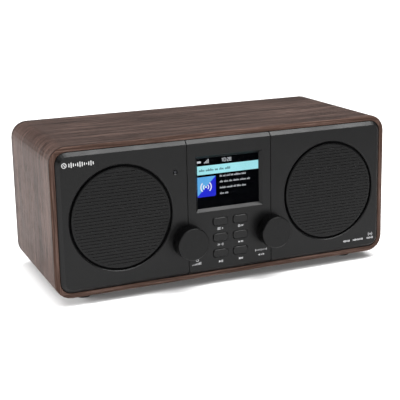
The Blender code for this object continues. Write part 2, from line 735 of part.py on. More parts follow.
def build_aerial_mount():
    nut = REAR_IN - GAP
    seat = REAR_OUT + GAP
    bore = 0.0024
    neck = 0.004
    front = [(bore, seat + 0.0017), (0.008, seat + 0.0017), (0.008, seat), (neck, seat)]
    behind = [(neck, nut), (0.006, nut), (0.006, nut - 0.0028), (bore, nut - 0.0028)]
    turned("antenna_mount", front + behind, BLACK, (AERIAL_X, 0, AERIAL_Z), 20)


def build_aerial_swivel():
    """Turntable with a stem in the mount and two cheeks that hold the tilt pin."""
    face = REAR_OUT + 0.0023
    top = face + 0.0023
    place = (AERIAL_X, 0, AERIAL_Z)
    inside = REAR_IN - 0.003
    stem = [(0, inside), (0.002, inside), (0.002, face), (0.0065, face), (0.0065, top), (0, top)]
    swivel = turned("antenna_swivel", stem, BLACK, place, 20)
    pivot = (AERIAL_X, AERIAL_Y, AERIAL_Z)
    reach = AERIAL_Y - top + 0.001
    for side, span in CHEEK_SPANS:
        join(swivel, flat_link(f"add_cheek_{side}", KNUCKLE, span, reach, "-Y", pivot))
    cut(swivel, turned("cut_pin_hole", cylinder(PIN_HOLE, -0.006, 0.006), None, pivot, 12, "Z"))
    head = 0.0049
    end = head + 0.0007
    lower = [(0, -end), (PIN_HEAD, -end), (PIN_HEAD, -head), (PIN_RADIUS, -head)]
    upper = [(r, -depth) for r, depth in reversed(lower)]
    turned("antenna_pin", lower + upper, STEEL, pivot, 12, "Z")


def build_aerial_tubes():
    """Telescopic rod folded along the back: an outer tube with a lug, two inner tubes and a tipped rod."""
    pivot = (AERIAL_X, AERIAL_Y, AERIAL_Z)
    outer, bore, start, end = TUBES[0]
    plug = start + 0.0025
    root = [(0, start), (outer, start), (outer, end), (bore, end), (bore, plug), (0, plug)]
    tube = turned("antenna_tube_1", root, CHROME, pivot, 16, "-X")
    join(tube, flat_link("add_lug", 0.0026, (-0.0022, 0.0022), start + 0.001, "-X", pivot))
    cut(tube, turned("cut_lug_hole", cylinder(PIN_HOLE, -0.006, 0.006), None, pivot, 12, "Z"))
    for number, (outer, bore, start, end) in enumerate(TUBES[1:], 2):
        shell = [(outer, start), (outer, end), (bore, end), (bore, start)]
        turned(f"antenna_tube_{number}", shell, CHROME, pivot, 16, "-X")
    radius, start, end = ROD
    tip_end = end + TIP_LENGTH
    rod = [(0, start),
           (radius, start),
           (radius, end),
           (TIP_RADIUS - 0.0008, end),
           (TIP_RADIUS, end + 0.001),
           (TIP_RADIUS, tip_end - 0.0015),
           (TIP_RADIUS - 0.0012, tip_end),
           (0, tip_end)]
    turned("antenna_rod", rod, CHROME, pivot, 16, "-X")


def main():
    clear_scene()
    build_cabinet()
    build_feet()
    build_front_panel()
    build_screen()
    build_buttons()
    for name, x in (("volume", -SEAM_X), ("tuning", SEAM_X)):
        build_knob(name, x)
    for side, x in (("left", -SPEAKER_X), ("right", SPEAKER_X)):
        build_grille(side, x)
        build_speaker(side, x)
    build_control_board()
    build_main_board()
    build_ribbon()
    build_rear_panel()
    build_rear_screws()
    build_jacks()
    build_aerial_mount()
    build_aerial_swivel()
    build_aerial_tubes()


main()
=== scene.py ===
"""Visual model of a tabletop radio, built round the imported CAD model."""
import math
import random

import bmesh
import bpy
from mathutils import Matrix, Vector


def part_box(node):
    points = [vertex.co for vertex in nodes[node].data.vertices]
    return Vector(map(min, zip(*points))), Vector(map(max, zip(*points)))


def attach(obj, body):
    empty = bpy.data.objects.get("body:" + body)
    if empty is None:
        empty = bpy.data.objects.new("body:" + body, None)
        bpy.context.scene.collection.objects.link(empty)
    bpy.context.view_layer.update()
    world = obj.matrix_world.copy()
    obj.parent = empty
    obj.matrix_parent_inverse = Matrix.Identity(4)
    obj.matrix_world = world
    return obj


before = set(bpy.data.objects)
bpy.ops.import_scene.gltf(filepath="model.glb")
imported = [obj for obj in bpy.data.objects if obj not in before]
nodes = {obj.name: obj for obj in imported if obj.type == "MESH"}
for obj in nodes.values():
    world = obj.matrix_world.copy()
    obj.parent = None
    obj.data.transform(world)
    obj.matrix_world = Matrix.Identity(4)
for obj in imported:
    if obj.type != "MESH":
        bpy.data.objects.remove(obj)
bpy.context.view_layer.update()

MM = 0.001

# Places read from the CAD frame. Marks are laid out in millimetres:
# x from the middle of the radio, z from the sleeve's underside.
CASE_LOW, CASE_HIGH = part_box("cabinet")
HALF_WIDTH = (CASE_HIGH.x - CASE_LOW.x) / 2
HALF_HEIGHT = (CASE_HIGH.z - CASE_LOW.z) / 2
BASE = CASE_LOW.z
MIDDLE_Z = BASE + HALF_HEIGHT
PANEL_LOW, PANEL_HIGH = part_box("front_panel")
FACE = PANEL_LOW.y
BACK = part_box("rear_panel")[1].y

# Ink: how far it stands out of a surface and reaches into it, and its colours
PRINT_PROUD = 0.06 * MM
PRINT_SUNK = 0.05 * MM
INK_GREY = (0.44, 0.44, 0.45)
INK_WHITE = (0.55, 0.55, 0.55)

# Marks, in their millimetres: places beside the panel's corner, buttons, knobs and jacks,
# the heights of the level bars, and the widths of strokes
LOGO_INSET = (7.4, 11.1)
LOGO_BARS = (3.4, 5.0, 3.2, 2.0, 3.6, 5.2, 4.2, 2.6, 1.6, 3.4, 4.8, 3.0)
BUTTON_MARK_DROPS = (7.1, 7.1, 7.4, 7.4, 8.5, 8.5)
VOLUME_MARK_OFFSET = (8.5, -22.6)
TUNING_MARK_OFFSET = (-11.0, -22.1)
REAR_MARK_RISE = 5.0
STROKE = 0.42
FINE_STROKE = 0.36

# Screen: its lit area in millimetres, where its thin layers lie in the gap between the
# window (0) and the display module (1), and the seed of its word-like strokes
LIT_WIDTH = 64.8
LIT_HEIGHT = 49.2
LAYER_FRONT = 0.68
LAYER_BACK = 0.86
LAYER_STEP = 0.27
WORD_SEED = 7

# Grille cloth, near black so that it also stands as painted shade in the gap round each grille, in
# millimetres behind the grille's back
CLOTH_RADIUS = 50.1
CLOTH_FRONT = 0.07
CLOTH_BACK = 0.22

# Walnut vinyl: colour by tone from dark to pale grain, the browns of pores, rims and worn
# edges, how fine each layer of grain is along and across the sleeve, and how far it wanders
WALNUT_TONES = ((0.37, (0.0058, 0.0032, 0.0026)), (0.455, (0.0216, 0.0126, 0.0102)),
                (0.52, (0.0495, 0.0306, 0.0254)), (0.60, (0.109, 0.0715, 0.0600)))
PORE_BROWN = (0.009, 0.005, 0.004)
RIM_BROWN = (0.085, 0.046, 0.032)
WORN_BROWN = (0.15, 0.085, 0.060)
GRAIN_FIGURE = (5.0, 110.0, 1.0)
GRAIN_STREAK = (14.0, 620.0, 1.0)
GRAIN_PORE = (75.0, 2300.0, 1.0)
GRAIN_WANDER = 0.007

# Moulded plastics: base colour, roughness, grain size and depth in metres, gloss level and
# the radius of worn edges. PLASTIC_WEAR is how far an edge may pale.
DEEP_BLACK = (0.0022, 0.0022, 0.0023)
PLASTICS = {
    "fascia": dict(colour=(0.0026, 0.0026, 0.0027), rough=0.36, grain=0.00022, depth=0.000012,
                   level=0.20),
    "grille": dict(colour=DEEP_BLACK, rough=0.36, grain=0.00022, depth=0.000012,
                   level=0.165, radius=0.0003),
    "button": dict(colour=DEEP_BLACK, rough=0.30, grain=0.00022, depth=0.00001,
                   level=0.21, radius=0.00012),
    "knob": dict(colour=(0.0016, 0.0016, 0.0017), rough=0.27, grain=0.0002, depth=0.000008,
                 level=0.17, radius=0.00012),
    "jack": dict(colour=(0.006, 0.006, 0.006), rough=0.28, grain=0.0005, depth=0.000008),
}
PLASTIC_WEAR = 0.35

# Metals: noise scale of drawn lines along X, or of a fine even texture, the radius of
# brightened edges, and how strong the dulled patches are
DRAWN_LINES = (30.0, 5200.0, 5200.0)
EVEN_TEXTURE = (1400.0, 1400.0, 1400.0)
METAL_EDGE = 0.0003
METAL_DULL = 0.35

# Pi times the lines per metre: threads of the cloth, wires of the ribbon, pixels of the screen
WEAVE = 7800.0
RIBBON_WIRES = 2470.0
PIXEL_COLUMNS = 15513.0
PIXEL_ROWS = 15327.0

# Stage, in metres: the floor's half width and its drop under the feet, its tones, the ranges
# of Y and X where the grey patch of painted shade starts, ends and deepens, and the world's
# strengths between upward directions (0 level, 1 straight up)
FLOOR_HALF = 30.0
FLOOR_DROP = 0.05 * MM
FLOOR_PALE = ((0.86, 0.86, 0.86), (0.90, 0.90, 0.90))
FLOOR_SHADE_GREY = (0.42, 0.42, 0.42)
GREY_STARTS = (-0.16, -0.50)
GREY_ENDS = (-2.2, -1.2)
GREY_ASIDE = (0.10, 0.50)
GREY_LEAST = 0.4
ROOM_STRENGTH = 0.15
CEILING_STRENGTH = 2.7
CEILING_UP = (0.60, 0.85)
HORIZON_STRENGTH = 1.0
HORIZON_UP = (0.04, 0.18)

# Softboxes: place, target, size, radiance, and whether shiny surfaces mirror them
SOFTBOXES = (
    ("key", (0.52, -0.32, 1.35), (0.52, -0.05, 0.13), (1.2, 0.24), 21.0, True),
    ("side", (-1.35, 0.40, 0.34), (-0.17, 0, 0.07), (1.2, 0.55), 15.0, False),
    ("front", (0.35, -1.3, 0.20), (0.0, -0.08, 0.02), (1.2, 0.35), 10.0, False),
)

# Camera: place, turn about Z, tilt about X and roll in degrees, lens and sensor in millimetres
CAMERA_PLACE = (-0.3853, -0.9123, 0.3270)
CAMERA_TURN = -22.98
CAMERA_TILT = 90 - 12.51
CAMERA_ROLL = -1.18
CAMERA_LENS = 89.0
CAMERA_SENSOR = 36.0
CAMERA_SHIFT = -0.1


# ---------------------------------------------------------------- material nodes

def new_material(name, **settings):
    """(material, its nodes, its shader) with the shader's own sockets set by name."""
    made = bpy.data.materials.new(name)
    made.use_nodes = True
    shader = made.node_tree.nodes["Principled BSDF"]
    for key, value in settings.items():
        shader.inputs[key.replace("_", " ")].default_value = value
    return made, made.node_tree, shader


def add(tree, kind, sockets=(), **settings):
    """A node with its settings and input sockets filled, by a value or a link."""
    made = tree.nodes.new("ShaderNode" + kind)
    for key, value in settings.items():
        setattr(made, key, value)
    for socket, value in dict(sockets).items():
        if isinstance(value, bpy.types.NodeSocket):
            tree.links.new(value, made.inputs[socket])
        else:
            made.inputs[socket].default_value = value
    return made


def calc(tree, operation, *values, clamp=False):
    return add(tree, "Math", enumerate(values), operation=operation, use_clamp=clamp).outputs[0]


def scaled(tree, vector, factors):
    return add(tree, "VectorMath", {0: vector, 1: factors}, operation="MULTIPLY").outputs[0]


def combined(tree, x, y):
    return add(tree, "CombineXYZ", {0: x, 1: y}).outputs[0]


def noise(tree, vector, scale=1.0, detail=2.0, roughness=0.5):
    sockets = {"Vector": vector, "Scale": scale, "Detail": detail, "Roughness": roughness}
    return add(tree, "TexNoise", sockets).outputs[0]


def ranged(tree, value, low, high, to_low=0.0, to_high=1.0):
    """The value eased from low..high to to_low..to_high."""
    sockets = {0: value, 1: low, 2: high, 3: to_low, 4: to_high}
    return add(tree, "MapRange", sockets, interpolation_type="SMOOTHSTEP").outputs[0]


def ramp(tree, value, stops):
    made = add(tree, "ValToRGB", {0: value})
    elements = made.color_ramp.elements
    while len(elements) < len(stops):
        elements.new(0.5)
    for element, (position, colour) in zip(elements, stops):
        element.position = position
        element.color = (*colour, 1)
    return made.outputs[0]


def mixed(tree, factor, a, b):
    """Colour a where factor is 0, and b where it is 1."""
    sockets = {0: factor, 6: a, 7: b}
    for key in (6, 7):
        if not isinstance(sockets[key], bpy.types.NodeSocket):
            sockets[key] = (*sockets[key], 1)
    return add(tree, "Mix", sockets, data_type="RGBA").outputs[2]


def bump(tree, height, distance, strength, normal=None):
    sockets = {"Height": height, "Distance": distance, "Strength": strength}
    if normal:
        sockets["Normal"] = normal
    return add(tree, "Bump", sockets).outputs[0]


def stripes(tree, value, rate):
    """0 to 1 and back for each line across the value; rate is pi times the lines per metre."""
    return calc(tree, "ABSOLUTE", calc(tree, "SINE", calc(tree, "MULTIPLY", value, rate)))


def edge_mask(tree, radius):
    """(rounded normal, 0 on flats to 1 on edges) within radius of an edge."""
    rounded = add(tree, "Bevel", {"Radius": radius}, samples=4).outputs[0]
    straight = add(tree, "NewGeometry").outputs["Normal"]
    compared = add(tree, "VectorMath", {0: rounded, 1: straight}, operation="DOT_PRODUCT")
    return rounded, ranged(tree, compared.outputs["Value"], 0.995, 0.86)


def object_place(tree):
    return add(tree, "TexCoord").outputs["Object"]


def link(tree, shader, **sockets):
    """Feeds the shader's sockets, named with _ for a space."""
    for key, value in sockets.items():
        tree.links.new(value, shader.inputs[key.replace("_", " ")])


# ---------------------------------------------------------------- materials

def walnut():
    """Walnut vinyl whose grain runs round the sleeve: along X on top, and upright on the sides."""
    made, tree, shader = new_material("walnut_vinyl", Specular_IOR_Level=0.06)
    source = add(tree, "TexCoord")
    x, y, z = add(tree, "SeparateXYZ", {0: source.outputs["Object"]}).outputs
    normal_y = add(tree, "SeparateXYZ", {0: source.outputs["Normal"]}).outputs[1]
    rim = ranged(tree, calc(tree, "ABSOLUTE", normal_y), 0.35, 0.9)
    wide = calc(tree, "SUBTRACT", calc(tree, "ABSOLUTE", x), HALF_WIDTH)
    height = calc(tree, "ABSOLUTE", calc(tree, "SUBTRACT", z, MIDDLE_Z))
    tall = calc(tree, "SUBTRACT", height, HALF_HEIGHT)
    inward = calc(tree, "MULTIPLY", calc(tree, "MAXIMUM", wide, tall), rim)
    along = calc(tree, "ADD", x, z)
    across = calc(tree, "ADD", y, inward)
    slow = combined(tree, calc(tree, "MULTIPLY", along, 6.0), calc(tree, "MULTIPLY", across, 16.0))
    across = calc(tree, "MULTIPLY_ADD", noise(tree, slow), GRAIN_WANDER, across)
    flow = combined(tree, along, across)
    figure = noise(tree, scaled(tree, flow, GRAIN_FIGURE), detail=3.0)
    streak = noise(tree, scaled(tree, flow, GRAIN_STREAK), detail=5.0, roughness=0.70)
    pores = ranged(tree, noise(tree, scaled(tree, flow, GRAIN_PORE)), 0.53, 0.64)
    tone = calc(tree, "ADD", calc(tree, "MULTIPLY", figure, 0.25),
                calc(tree, "MULTIPLY", streak, 0.75))
    colour = ramp(tree, tone, WALNUT_TONES)
    colour = mixed(tree, calc(tree, "MULTIPLY", pores, 0.6), colour, PORE_BROWN)
    rounded, edge = edge_mask(tree, 0.0012)
    colour = mixed(tree, calc(tree, "MULTIPLY", rim, 0.25), colour, RIM_BROWN)
    colour = mixed(tree, calc(tree, "MULTIPLY", edge, 0.25), colour, WORN_BROWN)
    relief = calc(tree, "SUBTRACT", streak, calc(tree, "MULTIPLY", pores, 0.8))
    rough = calc(tree, "ADD", ranged(tree, streak, 0.3, 0.7, 0.40, 0.52),
                 calc(tree, "MULTIPLY", pores, 0.12))
    link(tree, shader, Base_Color=colour, Roughness=rough,
         Normal=bump(tree, relief, 0.00009, 0.7, rounded))
    return made


def moulded(name, colour, rough, grain, depth, level=0.3, radius=0.0004):
    """Satin moulded plastic: spark-eroded grain, uneven gloss, edges rubbed paler and smoother."""
    made, tree, shader = new_material(name, Specular_IOR_Level=level)
    place = object_place(tree)
    texture = noise(tree, place, 1 / grain, 3.0, 0.6)
    cloud = noise(tree, place, 38.0, 3.0)
    rounded, edge = edge_mask(tree, radius)
    rubbed = ranged(tree, noise(tree, place, 220.0), 0.35, 0.7, 0.3 * PLASTIC_WEAR, PLASTIC_WEAR)
    worn = calc(tree, "MULTIPLY", edge, rubbed)
    dark, light, pale = (tuple(c * by + lift for c in colour)
                         for by, lift in ((0.86, 0.0), (1.14, 0.0), (2.6, 0.010)))
    shade = mixed(tree, ranged(tree, cloud, 0.3, 0.7), dark, light)
    gloss = calc(tree, "ADD", ranged(tree, cloud, 0.3, 0.7, rough - 0.035, rough + 0.035),
                 ranged(tree, texture, 0.3, 0.7, -0.03, 0.03))
    link(tree, shader, Base_Color=mixed(tree, worn, shade, pale),
         Roughness=calc(tree, "SUBTRACT", gloss, calc(tree, "MULTIPLY", worn, 0.12), clamp=True),
         Normal=bump(tree, texture, depth, 0.8, rounded))
    return made


def metal(name, colour, rough, texture=EVEN_TEXTURE):
    """Plated or bare metal with a fine texture or drawn lines, uneven gloss and dulled patches."""
    made, tree, shader = new_material(name, Metallic=1.0)
    place = object_place(tree)
    lines = noise(tree, scaled(tree, place, texture))
    cloud = noise(tree, place, 130.0, 4.0, 0.6)
    rounded, edge = edge_mask(tree, METAL_EDGE)
    dull = calc(tree, "MULTIPLY", ranged(tree, cloud, 0.5, 0.75), METAL_DULL)
    shade = mixed(tree, dull, colour, tuple(c * 0.62 for c in colour))
    shade = mixed(tree, calc(tree, "MULTIPLY", edge, 0.3), shade, tuple(c * 1.25 for c in colour))
    gloss = calc(tree, "ADD", ranged(tree, lines, 0.3, 0.7, rough - 0.04, rough + 0.06),
                 calc(tree, "MULTIPLY", dull, 0.3))
    link(tree, shader, Base_Color=shade, Roughness=gloss,
         Normal=bump(tree, lines, 0.000012, 0.5, rounded))
    return made


def soft_rubber():
    """Dusty matt black rubber."""
    made, tree, shader = new_material("rubber", Specular_IOR_Level=0.3)
    place = object_place(tree)
    fine = noise(tree, place, 1800.0, 3.0)
    dust = ranged(tree, noise(tree, place, 90.0, 4.0), 0.5, 0.75)
    dusty = calc(tree, "MULTIPLY", dust, 0.3)
    colour = mixed(tree, dusty, (0.012, 0.012, 0.013), (0.05, 0.048, 0.045))
    rounded, _ = edge_mask(tree, 0.0004)
    link(tree, shader, Base_Color=colour, Roughness=ranged(tree, fine, 0.3, 0.7, 0.72, 0.9),
         Normal=bump(tree, fine, 0.00004, 0.7, rounded))
    return made


def rear_board():
    """Matt black fibreboard: fine pressed dimples and faint fibres."""
    made, tree, shader = new_material("rear_board", Specular_IOR_Level=0.35)
    place = object_place(tree)
    cells = add(tree, "TexVoronoi", {"Vector": place, "Scale": 900.0}).outputs["Distance"]
    fibre = noise(tree, scaled(tree, place, (260.0, 900.0, 900.0)), 1.0, 4.0, 0.65)
    colour = mixed(tree, ranged(tree, fibre, 0.35, 0.68), (0.014, 0.014, 0.015),
                   (0.032, 0.031, 0.031))
    rounded, edge = edge_mask(tree, 0.0005)
    colour = mixed(tree, calc(tree, "MULTIPLY", edge, 0.35), colour, (0.06, 0.055, 0.05))
    height = calc(tree, "ADD", cells, calc(tree, "MULTIPLY", fibre, 0.5))
    link(tree, shader, Base_Color=colour, Roughness=ranged(tree, fibre, 0.3, 0.7, 0.58, 0.74),
         Normal=bump(tree, height, 0.00008, 0.8, rounded))
    return made


def pressed_paper():
    """Dark pulp of the speaker cones, with its fibres."""
    made, tree, shader = new_material("cone_paper", Specular_IOR_Level=0.25)
    place = object_place(tree)
    fibre = noise(tree, scaled(tree, place, (700.0, 700.0, 240.0)), 1.0, 5.0, 0.7)
    colour = mixed(tree, ranged(tree, fibre, 0.3, 0.7), (0.016, 0.016, 0.018),
                   (0.045, 0.044, 0.046))
    link(tree, shader, Base_Color=colour, Roughness=ranged(tree, fibre, 0.3, 0.7, 0.8, 0.95),
         Normal=bump(tree, fibre, 0.0002, 0.8))
    return made


def cloth_with_painted_shade():
    """Black acoustic cloth behind the grilles, near black so that it also stands as painted shade
    in the gaps round them.
    """
    made, tree, shader = new_material("grille_cloth_painted_shade", Specular_IOR_Level=0.04)
    x, _, z = add(tree, "SeparateXYZ", {0: object_place(tree)}).outputs
    weave = calc(tree, "MULTIPLY", stripes(tree, x, WEAVE), stripes(tree, z, WEAVE))
    # Near-black weave: the cloth's own black, and painted shade for the gap round the grille
    link(tree, shader,
         Base_Color=mixed(tree, weave, (0.001, 0.001, 0.001), (0.005, 0.005, 0.0055)),
         Roughness=ranged(tree, weave, 0.0, 1.0, 0.95, 0.8), Normal=bump(tree, weave, 0.0001, 0.8))
    return made


def laminate():
    """Green solder mask over copper tracks."""
    made, tree, shader = new_material("board_laminate")
    place = object_place(tree)
    flat = scaled(tree, place, (1.0, 0.0, 1.0))
    tracks = add(tree, "TexBrick", {"Vector": flat, "Scale": 160.0}).outputs["Fac"]
    cloud = noise(tree, place, 60.0, 3.0)
    colour = mixed(tree, ranged(tree, cloud, 0.3, 0.7), (0.010, 0.072, 0.028),
                   (0.018, 0.105, 0.042))
    colour = mixed(tree, calc(tree, "MULTIPLY", tracks, 0.5), colour, (0.035, 0.17, 0.065))
    link(tree, shader, Base_Color=colour, Roughness=ranged(tree, cloud, 0.3, 0.7, 0.3, 0.42),
         Normal=bump(tree, tracks, 0.00004, 0.6))
    return made


def ribbon_sheath():
    """Grey flat lead with one fine groove between conductors."""
    made, tree, shader = new_material("ribbon")
    place = object_place(tree)
    x, _, _ = add(tree, "SeparateXYZ", {0: place}).outputs
    grooves = stripes(tree, x, RIBBON_WIRES)
    dust = noise(tree, place, 260.0, 3.0)
    colour = mixed(tree, grooves, (0.16, 0.16, 0.17), (0.46, 0.46, 0.48))
    link(tree, shader, Base_Color=colour, Roughness=ranged(tree, dust, 0.3, 0.7, 0.42, 0.58),
         Normal=bump(tree, grooves, 0.0002, 0.8))
    return made


def clear_window():
    """Thin clear lens without a visible mirror image, faintly smeared."""
    made, tree, shader = new_material("window", Transmission_Weight=1.0, IOR=1.0,
                                      Base_Color=(0.96, 0.97, 1.0, 1.0))
    smear = noise(tree, object_place(tree), 55.0, 4.0, 0.6)
    link(tree, shader, Roughness=ranged(tree, smear, 0.3, 0.8, 0.015, 0.07))
    return made


def smoked_lens():
    """Dark lens of the indicator."""
    made, tree, shader = new_material("indicator", Coat_Weight=0.1, Coat_Roughness=0.06,
                                      Specular_IOR_Level=0.2)
    cloud = noise(tree, object_place(tree), 900.0, 3.0)
    link(tree, shader,
         Base_Color=mixed(tree, cloud, (0.004, 0.004, 0.006), (0.012, 0.012, 0.016)),
         Roughness=ranged(tree, cloud, 0.3, 0.7, 0.16, 0.28))
    return made


def printed(name, colour):
    """Screen-printed ink: faintly mottled, with tiny pinholes."""
    made, tree, shader = new_material(name)
    place = object_place(tree)
    cloud = noise(tree, place, 700.0, 3.0)
    holes = ranged(tree, noise(tree, place, 4200.0, 2.0), 0.30, 0.38)
    shade = mixed(tree, cloud, tuple(c * 0.82 for c in colour), colour)
    link(tree, shader, Base_Color=mixed(tree, holes, tuple(c * 0.55 for c in colour), shade),
         Roughness=ranged(tree, cloud, 0.3, 0.7, 0.42, 0.6), Normal=bump(tree, cloud, 0.00002, 0.5))
    return made


def lit(name, colour):
    """A lit area of the screen, with the display's pixel grid and faint uneven backlight."""
    made, tree, shader = new_material(name, Base_Color=(0.001, 0.001, 0.001, 1.0),
                                      Emission_Strength=1.0, Specular_IOR_Level=0.0)
    place = object_place(tree)
    x, _, z = add(tree, "SeparateXYZ", {0: place}).outputs
    lines = calc(tree, "MINIMUM", stripes(tree, x, PIXEL_COLUMNS), stripes(tree, z, PIXEL_ROWS))
    grid = ranged(tree, lines, 0.0, 0.35, 0.72, 1.0)
    uneven = ranged(tree, noise(tree, place, 30.0), 0.2, 0.8, 0.93, 1.04)
    glow = calc(tree, "MULTIPLY", grid, uneven)
    link(tree, shader, Emission_Color=mixed(tree, glow, (0.0, 0.0, 0.0), colour),
         Roughness=ranged(tree, grid, 0.7, 1.0, 0.5, 0.4))
    return made


def plain_floor():
    """Pale paper, with a broad greyer patch of painted shade out in front for the fascia to mirror.
    """
    made, tree, shader = new_material("floor_paper", Specular_IOR_Level=0.0)
    place = object_place(tree)
    fine = noise(tree, place, 900.0, 3.0)
    x, y, _ = add(tree, "SeparateXYZ", {0: place}).outputs
    # Painted shade: the floor greys out in front and to the right, so that the fascia's upper right
    # mirrors darker
    ahead = calc(tree, "MULTIPLY", ranged(tree, y, *GREY_STARTS), ranged(tree, y, *GREY_ENDS))
    aside = ranged(tree, x, *GREY_ASIDE, GREY_LEAST, 1.0)
    patch = calc(tree, "MULTIPLY", ahead, aside)
    link(tree, shader, Base_Color=mixed(tree, patch, mixed(tree, fine, *FLOOR_PALE), FLOOR_SHADE_GREY),
         Roughness=ranged(tree, fine, 0.3, 0.7, 0.85, 0.95))
    return made


# ---------------------------------------------------------------- piece builders

def piece(name, bm, material, body):
    """A finished object from a bmesh, riding on a CAD body."""
    bmesh.ops.recalc_face_normals(bm, faces=bm.faces)
    mesh = bpy.data.meshes.new(name)
    bm.to_mesh(mesh)
    bm.free()
    mesh.materials.append(material)
    made = bpy.data.objects.new(name, mesh)
    bpy.context.scene.collection.objects.link(made)
    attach(made, body)
    return made


def centre_of(node):
    """The middle of a CAD node in the marks' millimetres."""
    low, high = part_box(node)
    return (low.x + high.x) / 2 / MM, ((low.z + high.z) / 2 - BASE) / MM


def spot(x, z, y):
    """A point from the marks' millimetres and a depth in metres."""
    return Vector((x * MM, y, BASE + z * MM))


def plate(bm, outline, front, back):
    """A closed flat plate with this outline, between two depths."""
    loops = [[bm.verts.new(spot(x, z, y)) for x, z in outline] for y in (front, back)]
    bm.faces.new(loops[0])
    bm.faces.new(loops[1][::-1])
    count = len(outline)
    for i in range(count):
        j = (i + 1) % count
        bm.faces.new((loops[0][i], loops[0][j], loops[1][j], loops[1][i]))


def band(bm, path, width, front, back, closed):
    """A closed flat strip of constant width along a path."""
    count = len(path)
    rows = []
    for i, point in enumerate(path):
        before = path[i - 1] if closed or i else point
        after = path[(i + 1) % count] if closed or i < count - 1 else point
        steps = [Vector(b) - Vector(a) for a, b in ((before, point), (point, after))]
        steps = [s.normalized() for s in steps if s.length > 1e-9]
        mean = sum(steps, Vector((0, 0))).normalized()
        reach = width / 2 / max(0.5, mean.dot(steps[0]))
        side = Vector((-mean.y, mean.x)) * reach
        corners = [Vector(point) + side, Vector(point) - side]
        rows.append([bm.verts.new(spot(c.x, c.y, y)) for y in (front, back) for c in corners])
    for i in range(count if closed else count - 1):
        a, b = rows[i], rows[(i + 1) % count]
        for p, q in ((0, 1), (1, 3), (3, 2), (2, 0)):
            bm.faces.new((a[p], a[q], b[q], b[p]))
    if not closed:
        for row in (rows[0], rows[-1]):
            bm.faces.new((row[0], row[1], row[3], row[2]))


def arc(x, z, radius, start, stop, count=12):
    """Points along an arc, from one angle to another in degrees."""
    angles = [math.radians(start + (stop - start) * i / count) for i in range(count + 1)]
    return [(x + radius * math.cos(a), z + radius * math.sin(a)) for a in angles]


def disc(x, z, radius, count=20):
    return arc(x, z, radius, 0, 360, count)[:-1]


def bar(x, z, width, height, soft=0.0):
    """A rectangle centred at x, z whose corners are rounded by soft."""
    corners = ((1, 1), (-1, 1), (-1, -1), (1, -1))
    if not soft:
        return [(x + i * width / 2, z + j * height / 2) for i, j in corners]
    points = []
    for quarter, (i, j) in enumerate(corners):
        middle = (x + i * (width / 2 - soft), z + j * (height / 2 - soft))
        points += arc(*middle, soft, 90 * quarter, 90 * quarter + 90, 4)
    return points


def marks(name, shapes, material, slot, front, back, offset):
    """One piece of flat marks: outlines are filled, and (path, width, closed) strokes are drawn."""
    bm = bmesh.new()

    def moved(points):
        return [(offset[0] + x, offset[1] + z) for x, z in points]

    for shape in shapes:
        if isinstance(shape, tuple):
            path, width, closed = shape
            band(bm, moved(path), width, front, back, closed)
        else:
            plate(bm, moved(shape), front, back)
    return piece(name, bm, material, "case")


# ---------------------------------------------------------------- finishes on the CAD nodes

def finish_nodes():
    """Gives each CAD node the material whose list its name starts with."""
    plastic = {key: moulded(key + "_black", **made) for key, made in PLASTICS.items()}
    finishes = (
        (walnut(), ("cabinet",)),
        (plastic["fascia"], ("front_panel",)),
        (plastic["grille"], ("speaker_grille",)),
        (plastic["button"], ("button_",)),
        (plastic["knob"], ("knob_",)),
        (plastic["jack"],
         ("dc_jack", "headphone_jack", "antenna_mount", "antenna_swivel", "encoder_rotor")),
        (rear_board(), ("rear_panel",)),
        (soft_rubber(), ("foot_", "speaker_surround")),
        (metal("zinc_steel", (0.60, 0.60, 0.61), 0.28),
         ("rear_screw", "speaker_screw", "encoder_shaft", "encoder_body", "antenna_pin")),
        (metal("black_steel", (0.05, 0.05, 0.055), 0.42), ("speaker_basket",)),
        (metal("aerial_chrome", (0.55, 0.55, 0.57), 0.16, DRAWN_LINES),
         ("antenna_tube", "antenna_rod")),
        (metal("ferrite", (0.085, 0.085, 0.090), 0.55), ("speaker_magnet",)),
        (pressed_paper(), ("speaker_cone",)),
        (laminate(), ("control_board", "main_board")),
        (ribbon_sheath(), ("ribbon_cable",)),
        (clear_window(), ("display_window",)),
        (smoked_lens(), ("indicator_lens",)),
        (moulded("module_frame", (0.02, 0.02, 0.024), 0.3, 0.0004, 0.00001), ("lcd_module",)),
    )
    for node, item in nodes.items():
        found = [m for m, starts in finishes if node.startswith(starts)]
        for place in item.material_slots:
            place.material = found[0]


# ---------------------------------------------------------------- printed marks

def chevron(x, z, size):
    """An arrowhead stroke that points right."""
    return ([(x - size / 2, z + size), (x + size / 2, z), (x - size / 2, z - size)], STROKE, False)


def triangle(x, z, size, way=1):
    """A filled arrowhead that points right, or left where way is -1."""
    return [(x - way * size * 0.8, z + size), (x - way * size * 0.8, z - size), (x + way * size, z)]


def star(x, z, size):
    """A five-pointed star."""
    points = []
    for i in range(10):
        reach = size if i % 2 == 0 else size * 0.45
        angle = math.radians(90 + 36 * i)
        points.append((x + reach * math.cos(angle), z + reach * math.sin(angle)))
    return points


def waves(x, z, size, width, sides=(0,)):
    """A dot with arcs beside it."""
    shapes = [disc(x, z, size * 0.16)]
    for side in sides:
        for reach in (0.5, 1.0):
            shapes.append((arc(x, z, size * reach, side - 48, side + 48), width, False))
    return shapes


def fascia_marks(name, shapes, ink, place):
    """Ink on the front of the fascia."""
    marks(name, shapes, ink, "indicator", FACE - PRINT_PROUD, FACE + PRINT_SUNK, place)


def mark_logo(ink):
    """A generic mark near the upper left corner: a ring round a pulse, and a row of level bars."""
    shapes = [(disc(0, 0, 2.1, 24), 0.55, True),
              ([(-1.3, 0), (-0.5, 0), (0, 1.1), (0.6, -1.1), (1.2, 0)], 0.4, False)]
    for i, height in enumerate(LOGO_BARS):
        shapes.append(bar(4.6 + 2.05 * i, 0, 0.8, height, 0.38))
    place = (PANEL_LOW.x / MM + LOGO_INSET[0], (PANEL_HIGH.z - BASE) / MM - LOGO_INSET[1])
    fascia_marks("mark_level_bars", shapes, ink, place)


